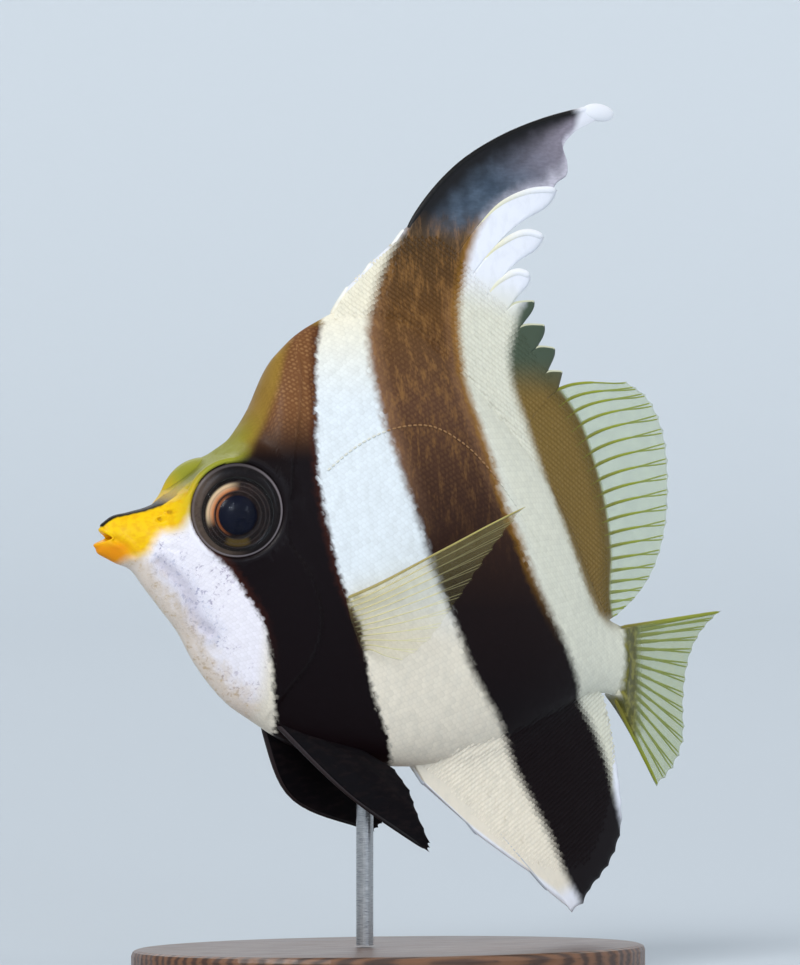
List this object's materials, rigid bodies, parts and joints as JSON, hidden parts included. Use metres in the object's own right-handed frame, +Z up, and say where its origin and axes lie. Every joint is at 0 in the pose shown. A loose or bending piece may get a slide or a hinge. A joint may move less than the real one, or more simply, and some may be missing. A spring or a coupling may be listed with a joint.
{
  "type": "pennant bannerfish",
  "caption": "Still model of a pennant bannerfish: pearl white with dark bands, a long raised pennant on its back and yellow-green rear fins, held by a rod above an oval base.",
  "frame": {"origin": "middle of the underside of the stand's oval base, straight below the rod", "axes": "-X is ahead of the fish's snout, +Z is up, and the fish's left side faces -Y"},
  "size_m": [0.1075, 0.054, 0.1274],
  "materials": {
    "flesh": "smooth",
    "eye_cornea": "polished",
    "fin_pale": "smooth",
    "pennant_dark": "smooth",
    "fin_yellow": "smooth",
    "fin_black": "smooth",
    "fin_clear": "smooth",
    "stand_wood": "satin",
    "stand_steel": "satin"
  },
  "bodies": {
    "root": {"head": "flesh", "trunk": "flesh", "tail_stem": "flesh", "eye_left": "eye_cornea", "eye_right": "eye_cornea", "dorsal_fin_front": "fin_pale", "pennant": "pennant_dark", "dorsal_fin_spiny": "fin_pale", "dorsal_fin_soft": "fin_yellow", "anal_fin": "fin_black", "tail_fin": "fin_yellow", "pectoral_fin_left": "fin_clear", "pectoral_fin_right": "fin_clear", "pelvic_fin_left": "fin_black", "pelvic_fin_right": "fin_black", "stand_base": "stand_wood", "stand_rod": "stand_steel"}
  },
  "joints": []
}
